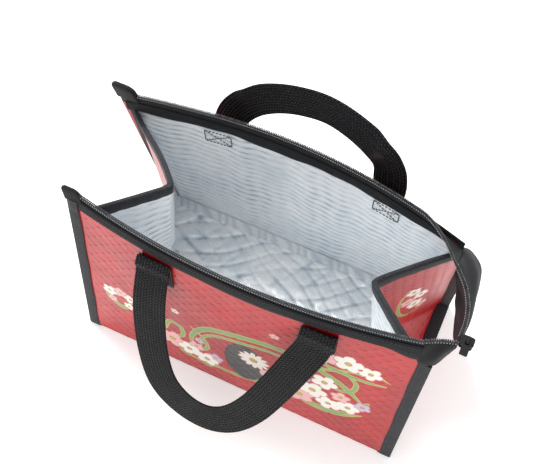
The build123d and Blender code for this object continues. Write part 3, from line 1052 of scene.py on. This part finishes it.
def handle_tabs(side):
    """Sewn ends of a handle. The front ones start the fold over the swing axis."""
    name = SIDES[side]
    axis_out = {FRONT: 4.2, BACK: 5.0}[side]
    flat = 0.05 + WEBBING_THICK / 2
    rise = [(flat, TAB_LOW + t * (TAB_TOP - TAB_LOW)) for t in (0, 0.2, 0.4, 0.6)]
    if side == FRONT:
        line = rise + [(axis_out + r * math.cos(t), TAB_TOP + r * math.sin(t))
                       for t, r in ((math.radians(a), fold_radius(a)) for a in range(180, 96, -12))]
    else:
        line = rise + [(flat + 0.3, TAB_TOP - 7.5), (2.4, TAB_TOP - 4.6), (3.9, TAB_TOP - 2.2),
                       (axis_out - 0.3, TAB_TOP - 0.2)]
    parts = []
    rows = []
    sewn = flat + WEBBING_THICK / 2 + 0.15
    for hand, word in HANDS.items():
        parts.append(webbing_end(f"{name}_tab_{word}", side, hand, line,
                                 lambda x, out, z: wall(side, x, z, out)))
        rows += box_stitch(side, hand * LEG_X[side], TAB_LOW + 2.5, TAB_TOP - 8, sewn)
    piece = joined(f"{name}_sewn_tabs", parts)
    on_wall(piece, side, "webbing", "handle_tabs")
    piece = stitches(f"{name}_tab_stitches", rows)
    on_wall(piece, side, "webbing", material=THREADS["black"])


def webbing_end(name, side, hand, line, place):
    """Webbing lofted over its width along a line. place(x, out, up) gives its points."""
    outline, across = thick_line(line, WEBBING_THICK)
    loops = [place(hand * LEG_X[side] + dx, outline[:, 0], outline[:, 1])
             for dx in np.linspace(-WEBBING / 2, WEBBING / 2, 16)]
    piece = loft(name, np.array(loops), across)
    # The weave runs along the line, so the cloth coordinates change places.
    layer = piece.data.uv_layers["cloth"].data
    values = np.zeros(len(layer) * 2, np.float32)
    layer.foreach_get("uv", values)
    layer.foreach_set("uv", values.reshape(-1, 2)[:, ::-1].ravel())
    return piece


def inside_stitches():
    """The handles' sewing where it comes through the back liner."""
    rows = []
    for hand in HANDS:
        middle = hand * (LEG_X[BACK] + 5.0) - 1.0
        rows += box_stitch(BACK, middle, BAND_LOW - 19, BAND_LOW - 1.5, LINER[0] - 2.2, 0.55)
    piece = stitches("back_liner_box_stitches", rows)
    on_wall(piece, BACK, "webbing", material=THREADS["black"])


FRONT_ROUTE = [(-73, 1.5), (-72.5, 22), (-69, 55), (-61, 88), (-46, 117), (-24, 134), (0, 138.5),
               (21, 129), (38, 106), (52, 72), (63, 40), (71, 16), (73, 1.5)]
BACK_ROUTE = [(-76, 1.5), (-74.5, 13), (-69, 26), (-56, 42), (-36, 55), (-12, 64), (12, 67.5),
              (36, 62), (57, 50), (70, 34), (75, 18), (76, 1.5)]


def webbing_section():
    """Outline of the webbing as (across, thick), with soft edges and a faint crown."""
    half, thick = WEBBING / 2, WEBBING_THICK / 2
    across = np.linspace(-half + 0.8, half - 0.8, 15)
    crown = thick * (1 - 0.12 * (across / half) ** 2)
    edge = np.radians([60, 20, -20, -60])
    top = np.stack([across, crown], -1)
    right = np.stack([half - 0.8 + 0.8 * np.cos(edge), thick * 0.9 * np.sin(edge)], -1)
    return np.concatenate([top, right, top[::-1] * (1, -1), right[::-1] * (-1, 1)])


def lift_off(side, x, s):
    """How far the free webbing leaves its plane, in millimetres."""
    if side == FRONT:
        return 2.2 * np.sin(s / 46) * np.sin(x / 60 + 0.6) + 1.2 * np.sin(s / 21 + x / 33) * fade(s, 10, 40)
    shoulder = np.exp(-((np.abs(x + 2) - 64) / 9) ** 2) * fade(s, 15, 30)
    return 3.4 * shoulder * np.sin((s - 40) / 9) + 1.5 * np.sin(x / 30) * fade(s, 25, 50)


def handle_loop(side):
    """Free part of a handle, with the fold that starts it."""
    origin, axis = swing_axis(side)
    angle = math.radians(LOOP_ANGLE[side])
    out = np.array([0.0, side, 0.0])
    out = unit(out - axis * (out @ axis))
    up = np.array([0.0, 0.0, 1.0])
    away = out * math.cos(angle) + up * math.sin(angle)
    normal = np.cross(axis, away)
    route = smooth_route(FRONT_ROUTE if side == FRONT else BACK_ROUTE, 2.2)
    ways = unit(np.gradient(route, axis=0))
    section = webbing_section()
    loops = []
    for (x, s), (wx, ws) in zip(route, ways):
        aside = np.array([-ws, wx])
        points = np.array([x, s]) + section[:, :1] * aside
        start = fade(points[:, 1], 0, 14)
        lift = lift_off(side, points[:, 0], points[:, 1]) * start
        height = section[:, 1] + lift
        loops.append(origin + points[:, :1] * axis + np.clip(points[:, 1:], 0.9, None) * away
                     + height[:, None] * normal)
    loops = np.array(loops)
    parts = [loft(f"{SIDES[side]}_loop", loops, section[:, 0])]
    if side == FRONT:
        parts += [fold_over(side, hand, origin, axis, out, up) for hand in HANDS]
    piece = joined(f"{SIDES[side]}_handle_webbing", parts)
    dress(piece, "webbing", [f"{SIDES[side]}_handle_loop"])
    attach(piece, f"{SIDES[side]}_handle")
    shift_with_tabs(piece, side)


def fold_radius(angle):
    """Distance of the front webbing's fold from its swing axis. It stands highest straight up."""
    return ROD + 2.6 * math.exp(-((angle - 102) / 22) ** 2)


def fold_over(side, hand, origin, axis, out, up):
    """The webbing's turn over the swing axis, from above the tab down into the loop."""
    start, end = 100.0, LOOP_ANGLE[side] + 6
    line = []
    for share in np.linspace(0, 1, 14):
        turned = start + (end - start) * share
        angle = math.radians(turned)
        radius = fold_radius(turned) + 5.5 * max(0.0, share - 0.35) ** 1.6
        line.append((radius * math.cos(angle), radius * math.sin(angle)))
    angle = math.radians(LOOP_ANGLE[side])
    line.append((11.0 * math.cos(angle), 11.0 * math.sin(angle)))

    def place(x, outwards, upwards):
        return origin + axis * x + outwards[:, None] * out + upwards[:, None] * up

    return webbing_end(f"{SIDES[side]}_fold_{HANDS[hand]}", side, hand, line, place)


def shift_with_tabs(piece, side):
    """Gives a loop its own mesh. How far it would move in with its tabs as the wall flattens is worked out
    but not applied.
    """
    x, z = LEG_X[side], TAB_TOP
    axis, anchor = closing_plane(side, False)
    axis = unit(np.array(axis))
    moved = (wall(side, x, z) - np.array(anchor) / MM) @ axis * (1 - CLOSED_KEEP)
    tab = wall(side, x, z, 4.0)
    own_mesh(piece)
    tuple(axis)


# ---- Bottom and side panels

FLOOR_FLAT = HALF_DEPTH - EDGE_ROLL
FLOOR_REACH = FLOOR_FLAT + EDGE_ROLL * math.pi / 2
FLOOR_INSET = 3.6           # the bottom's foam and liner end short of the side panels


def floor_place(x, a, into):
    """Point of the bottom. a runs across it from front to back, round both rolled edges."""
    turn = np.clip((np.abs(a) - FLOOR_FLAT) / EDGE_ROLL, 0, math.pi / 2)
    radius = EDGE_ROLL - into
    y = np.where(turn > 0, np.sign(a) * (FLOOR_FLAT + radius * np.sin(turn)), a)
    z = np.where(turn > 0, EDGE_ROLL - radius * np.cos(turn), into)
    return xyz(x, y, z)


def pillows(x, y):
    """Soft lozenges between crossing creases, from 0 in a crease to 1."""
    total = np.ones(x.shape)
    for angle, size, depth in ((60, 13, 0.6), (119, 15, 0.55), (88, 31, 0.3), (20, 41, 0.35), (152, 23, 0.3)):
        turn = math.radians(angle)
        way = x * math.cos(turn) + y * math.sin(turn)
        way = way + 3.0 * np.sin(x / 17 + angle) + 2.4 * np.sin(y / 13 + 2 * angle)
        patchy = 0.6 + 0.4 * np.sin(x / 23 + 3 * angle) * np.sin(y / 19 + angle)
        total -= depth * patchy * np.exp(-(np.sin(np.pi * way / size) / 0.36) ** 2)
    return np.clip(total, 0, 1)


def floor_rows(step, turns):
    """Grid lines across the bottom, with so many round each rolled edge."""
    roll = np.linspace(FLOOR_FLAT, FLOOR_REACH, turns)
    return np.concatenate([-roll[::-1], spaced(-FLOOR_FLAT, FLOOR_FLAT, step)[1:-1], roll])


def bottom():
    """Bottom skin, foam and liner."""
    us = spaced(-BOTTOM_EDGE, BOTTOM_EDGE, 3.0)
    vs = floor_rows(3.0, 7)
    plain = {key: np.full((len(vs), len(us)), -50.0) for key in INKS}
    plain["dimple_shade"] = np.zeros((len(vs), len(us)))
    piece = sheet("bottom_skin_cloth", us, vs, floor_place, SKIN, 0.0, plain)
    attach(dress(piece, "printed_laminate", ["bottom_skin"]), "base")
    edge = BOTTOM_EDGE - FLOOR_INSET
    piece = sheet("bottom_foam_ply", spaced(-edge, edge, 3.0), vs, floor_place, 2.75, 0.55)
    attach(dress(piece, "foam", ["bottom_foam"]), "base")
    us = spaced(-edge, edge, 1.6)
    vs = floor_rows(1.6, 5)
    u, v = np.meshgrid(us, vs)
    calm = fade(BOTTOM_EDGE - np.abs(u), 1, 14) * fade(FLOOR_FLAT - np.abs(v), -1, 10)
    seam = fade(np.abs(v), FLOOR_FLAT - 11, FLOOR_FLAT - 9)
    puckers = 0.5 + 0.5 * np.sin(u / 1.9 + 2 * np.sin(u / 7.1) + v / 3)
    relief = 3.2 * pillows(u, v) * calm * (1 - seam)
    relief += seam * (1.3 + 0.8 * puckers) * fade(-np.abs(v), -FLOOR_REACH, -FLOOR_FLAT)
    # shade paints bluish shade into the foil's creases and along the seam strip.
    shade = pillows(u, v) * (1 - seam) + seam * (0.38 + 0.32 * puckers)
    piece = sheet("bottom_liner_foil", us, vs, floor_place, 3.2 + relief, 2.8, {"relief": shade})
    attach(dress(piece, "foil_liner", ["bottom_liner"]), "base")


def bottom_bindings():
    """Tape over the seams between the bottom and the side panels."""
    for hand, word in HANDS.items():
        low, high = box_mm(f"{word}_bottom_binding")
        middle, half = (low[2] + high[2]) / 2, (high[2] - low[2]) / 2
        near, far = (low[0] - 1.4, high[0]) if hand == RIGHT else (low[0], high[0] + 1.4)
        line = [(near + half, middle), ((near + far) / 2, middle), (far - half, middle)]
        outline, across = thick_line(line, 2 * half, 5)
        loops = [xyz(outline[:, 0], y, outline[:, 1])
                 for y in np.linspace(-HALF_DEPTH - 0.3, HALF_DEPTH + 0.3, 60)]
        piece = loft(f"{word}_bottom_seam_tape", np.array(loops), across)
        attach(dress(piece, "binding_tape", [f"{word}_bottom_binding"]), "base")


GUSSET_LENGTH = 80.0        # cloth from the middle fold to the seam
GUSSET_FOOT = 0.8           # just above the bottom skin
FIN_RUN = 8.0               # cloth beyond the seam line, inside the corner binding
GUSSET_FOAM_INSET = 3.0     # the foam ends short of the seam


def gusset_height(hand, u, v):
    """Height on a gusset. u is the distance from the middle fold and v is 0 to 1 up."""
    across = np.clip(u / GUSSET_LENGTH, 0, 1)
    return GUSSET_FOOT + (gusset_top(hand, across) - GUSSET_FOOT) * v


def gusset_cloth(hand, side, u, v, into):
    """Point of a gusset's cloth, with the seam allowance that runs into the corner binding."""
    across = np.clip(u / GUSSET_LENGTH, 0, 1)
    points = gusset(hand, side, across, gusset_height(hand, u, v), into)
    beyond = np.clip(u - GUSSET_LENGTH, 0, None)
    turn = fade(beyond, 0, 2.5)
    points[..., 0] += hand * (beyond + turn * into)
    points[..., 1] += side * turn * (3.4 - 1.0 * np.asarray(into))
    return points


def bend(piece, side, hand):
    """Bakes the piece's placement into its mesh. The seam points it would bend between are worked out but not
    used.
    """
    seam = wall(side, hand * panel_edge(GUSSET_TOP), GUSSET_TOP, GUSSET_IN)
    other = wall(-side, hand * panel_edge(GUSSET_TOP), GUSSET_TOP, GUSSET_IN)
    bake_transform(piece)


def gusset_skin(hand, name, cloth):
    """Embossed and printed outer sheet of one half of a side panel."""
    allowance = GUSSET_LENGTH + np.linspace(0.6, FIN_RUN, 8)
    us = np.concatenate([spaced(0, GUSSET_LENGTH, GUSSET_COLUMN / 7), allowance])
    vs = np.linspace(0, 1, 170)
    u, v = np.meshgrid(us, vs)
    z = gusset_height(hand, u, v)
    seam = GUSSET_LENGTH - u
    hollow = dimples(seam, z, GUSSET_COLUMN, GUSSET_ROW, 1.7, 0.8) * fade(seam, 0, 4)
    ink = gusset_print(seam, z)
    # The hollows' depth also paints shade into them, in the laminate's colour.
    ink["dimple_shade"] = hollow
    outer = DIMPLE_DEPTH * hollow
    return sheet(f"{name}_skin_cloth", us, vs, cloth, SKIN + outer, outer, ink)


def gusset_liner(hand, name, cloth):
    """Quilted inner sheet of one half of a side panel."""
    us = spaced(0, GUSSET_LENGTH, 1.7)
    vs = np.linspace(0, 1, 124)
    u, v = np.meshgrid(us, vs)
    z = gusset_height(hand, u, v)
    calm = fade(GUSSET_LENGTH - u, 1, 10) * fade(1 - v, 0.06, 0.1) * fade(u, 1, 6) * fade(z, 6, 16)
    ribs = quilting(u, z)
    # The relief attribute also paints bluish shade into the valleys of the ribs.
    return sheet(f"{name}_liner_foil", us, vs, cloth, 3.2 + 0.9 * ribs * calm, 2.8, {"relief": ribs})


def gusset_half(hand, side):
    """Skin, foam, liner and top binding of one half of a side panel."""
    word = f"{HANDS[hand]}_gusset"
    name = f"{word}_{SIDES[side]}"

    def cloth(u, v, into):
        return gusset_cloth(hand, side, u, v, into)

    def seat(piece, slot, node):
        bend(dress(piece, slot, [f"{word}_{node}"]), side, hand)

    seat(gusset_skin(hand, name, cloth), "printed_laminate", "skin")
    plain = np.linspace(0, GUSSET_LENGTH - GUSSET_FOAM_INSET, 25)
    foam = sheet(f"{name}_foam_ply", plain, np.linspace(0, 1, 40), cloth, 2.75, 1.15)
    seat(foam, "foam", "foam")
    seat(gusset_liner(hand, name, cloth), "foil_liner", "liner")
    seat(gusset_binding(hand, side, name), "binding_tape", "binding")


GUSSET_BINDING = 11.0       # how far a gusset's binding reaches down from its edge


def gusset_binding(hand, side, name):
    """Tape folded over a gusset's top edge."""
    middle = LAMINATE / 2
    radius = middle + 0.4
    line = [(-0.4, -GUSSET_BINDING), (-0.4, -GUSSET_BINDING / 2), *arc((middle, -0.6), radius, 180, 0, 9),
            (LAMINATE + 0.4, -GUSSET_BINDING / 2), (LAMINATE + 0.4, -GUSSET_BINDING)]
    loops = []
    for across in np.linspace(0, 1, 44):
        section = np.array(line)
        hem = 0.35 * math.sin(23 * across + hand) + 0.2 * math.sin(51 * across)
        section[:2, 1] += (hem, 0)
        section[-2:, 1] += (0, hem)
        outline, width = thick_line(section, BINDING)
        loops.append(gusset(hand, side, across, gusset_top(hand, across) + outline[:, 1], outline[:, 0]))
    return loft(f"{name}_edge_tape", np.array(loops), width)


# ---- Zipper tail

TAIL_TEETH = {
    FRONT: [(149.5, -44.4), (155.5, -41.2), (163.0, -38.0), (171.8, -35.2)],
    BACK: [(149.6, 24.6), (156.0, 17.5), (163.0, 8.5), (169.0, -4.0), (171.8, -18.0), (171.8, -31.0)],
}
TAIL_HEM = {
    FRONT: {"outer": [(149.5, -51.5, 187), (157.0, -52.0, 185.5), (163.5, -49.0, 187), (168.0, -42.0, 193),
                      (172.0, -36.5, 202)]},
    BACK: {"outer": [(150.0, 53.5, 190), (157.5, 54.0, 189), (169.0, 43.5, 190), (173.0, 28.0, 190),
                     (174.5, 8.0, 193), (175.0, -9.0, 197), (172.4, -30.5, 204)],
           "inner": [(152.0, 27.0, 196), (160.0, 13.0, 182), (164.5, 3.0, 171), (167.0, -10.0, 176),
                     (168.5, -22.0, 187), (171.2, -31.0, 201)]},
}


def tail_band(name, top, hem, outward):
    """A leaf of zipper tape between the teeth and a hem."""
    hem = smooth_route(hem, 1.5)
    places = np.linspace(0, 1, len(top))
    hem = np.stack([np.interp(places, np.linspace(0, 1, len(hem)), hem[:, i]) for i in range(3)], -1)
    loops = []
    for high, low, out, place in zip(top, hem, outward, places):
        fall = low - high
        reach = np.linalg.norm(fall)
        off = unit(np.cross(np.cross(fall, out), fall))
        runs = np.linspace(0, reach, 11)
        belly = 1.6 * np.sin(np.pi * runs / reach) + 0.6 * np.sin(runs / 4 + 9 * place)
        outline, across = thick_line(np.stack([belly, runs], -1), 1.1)
        loops.append(high + outline[:, :1] * off + outline[:, 1:] * fall / reach)
    return loft(name, np.array(loops), across)


def tail(side):
    """Zipper tape and coil beyond the right corner. The tape's hem flares out below its teeth."""
    name = SIDES[side]
    teeth = smooth_route(TAIL_TEETH[side], 1.5)
    top = xyz(teeth[:, 0], teeth[:, 1], TAPE_TOP)
    ways = unit(np.gradient(teeth, axis=0))
    outward = xyz(ways[:, 1], -ways[:, 0], 0.0) * -side
    leaves = [tail_band(f"{name}_{leaf}_tail_band", top, hem, outward)
              for leaf, hem in TAIL_HEM[side].items()]
    piece = joined(f"{name}_tail_bands", leaves)
    on_wall(piece, side, "zipper_tape", "tail_tape", None, True)
    centres = top + (0, 0, COIL_Z - TAPE_TOP)
    piece = coil(f"{name}_tail_teeth", centres, outward)
    on_wall(piece, side, "zipper_coil", "tail_coil", None, True)
    # The pale stitch rows are partly a painted highlight on the teeth.
    piece = coil_highlight_stitches(f"{name}_tail_highlight_stitches", centres, outward)
    on_wall(piece, side, "zipper_coil", "", THREADS["pale_highlight"], True)


# ---- Slider, camera and light

def metal_nodes():
    """The slider and its pull are shown as the CAD has them."""
    for node in ("slider_body", "pull_tab"):
        dress(frame["nodes"][node], "slider_metal")


CAMERA_AZIMUTH, CAMERA_ELEVATION, CAMERA_ROLL = 25.7, 63.7, -0.9
CAMERA_DISTANCE, CAMERA_LENS = 0.7972, 54.75
CAMERA_TARGET = Vector((-0.0218, 0.0473, 0.0841))


def camera():
    """Camera at the photograph's viewing angle."""
    a, e, r = (math.radians(t) for t in (CAMERA_AZIMUTH, CAMERA_ELEVATION, CAMERA_ROLL))
    back = Vector((math.sin(a) * math.cos(e), -math.cos(a) * math.cos(e), math.sin(e)))
    right = Vector((0, 0, 1)).cross(back).normalized()
    up = back.cross(right)
    turned_right = right * math.cos(r) + up * math.sin(r)
    turned_up = up * math.cos(r) - right * math.sin(r)
    data = bpy.data.cameras.new("view")
    data.lens = CAMERA_LENS
    data.sensor_width = 36.0
    item = bpy.data.objects.new("view", data)
    item.matrix_world = Matrix.Translation(CAMERA_TARGET + back * CAMERA_DISTANCE) @ Matrix(
        (turned_right, turned_up, back)).transposed().to_4x4()
    bpy.context.scene.collection.objects.link(item)
    bpy.context.scene.camera = item


def area_light(name, place, aim, size, power):
    """Soft light aimed at a point."""
    data = bpy.data.lights.new(name, "AREA")
    data.shape = "DISK"
    data.size = size
    data.energy = power
    item = bpy.data.objects.new(name, data)
    item.location = place
    item.rotation_mode = "QUATERNION"
    item.rotation_quaternion = (Vector(aim) - Vector(place)).to_track_quat("-Z", "Y")
    bpy.context.scene.collection.objects.link(item)


def studio():
    """Plain pale floor, even white surroundings and two soft lights."""
    f = Finish("floor_paper", Specular_IOR_Level=0.1, Emission_Strength=0.3)
    grain = f.noise(f.place(), 2.0, 2.0)
    paper = f.finish(f.mix(grain, (238, 238, 236), (243, 243, 241)), f.spread(grain, 0.85, 0.95))
    mesh = bpy.data.meshes.new("floor")
    reach, level = 6.0, -0.0004
    mesh.from_pydata([(-reach, -reach, level), (reach, -reach, level), (reach, reach, level),
                      (-reach, reach, level)], [], [(0, 1, 2, 3)])
    mesh.materials.append(paper)
    floor = bpy.data.objects.new("floor", mesh)
    bpy.context.scene.collection.objects.link(floor)
    world = bpy.data.worlds.new("studio")
    world.use_nodes = True
    background = world.node_tree.nodes["Background"]
    background.inputs["Color"].default_value = (0.97, 0.985, 1.0, 1.0)
    background.inputs["Strength"].default_value = 0.9
    bpy.context.scene.world = world
    area_light("key", (-0.7, 0.55, 1.5), (0, 0, 0.1), 0.6, 30.0)
    area_light("fill", (0.6, -0.9, 1.3), (0, 0, 0.1), 0.9, 2.0)
    bpy.context.scene.view_settings.view_transform = "Standard"


def build():
    """All the pieces."""
    bottom()
    bottom_bindings()
    for hand in HANDS:
        for side in SIDES:
            gusset_half(hand, side)
    for side in SIDES:
        wall_skin(side)
        wall_foam(side)
        wall_liner(side)
        rim_bands(side)
        wall_coil(side)
        corner_bindings(side)
        end_caps(side)
        wall_stitching(side)
        handle_tabs(side)
        handle_loop(side)
        tail(side)
    inside_stitches()
    metal_nodes()


build()
camera()
studio()
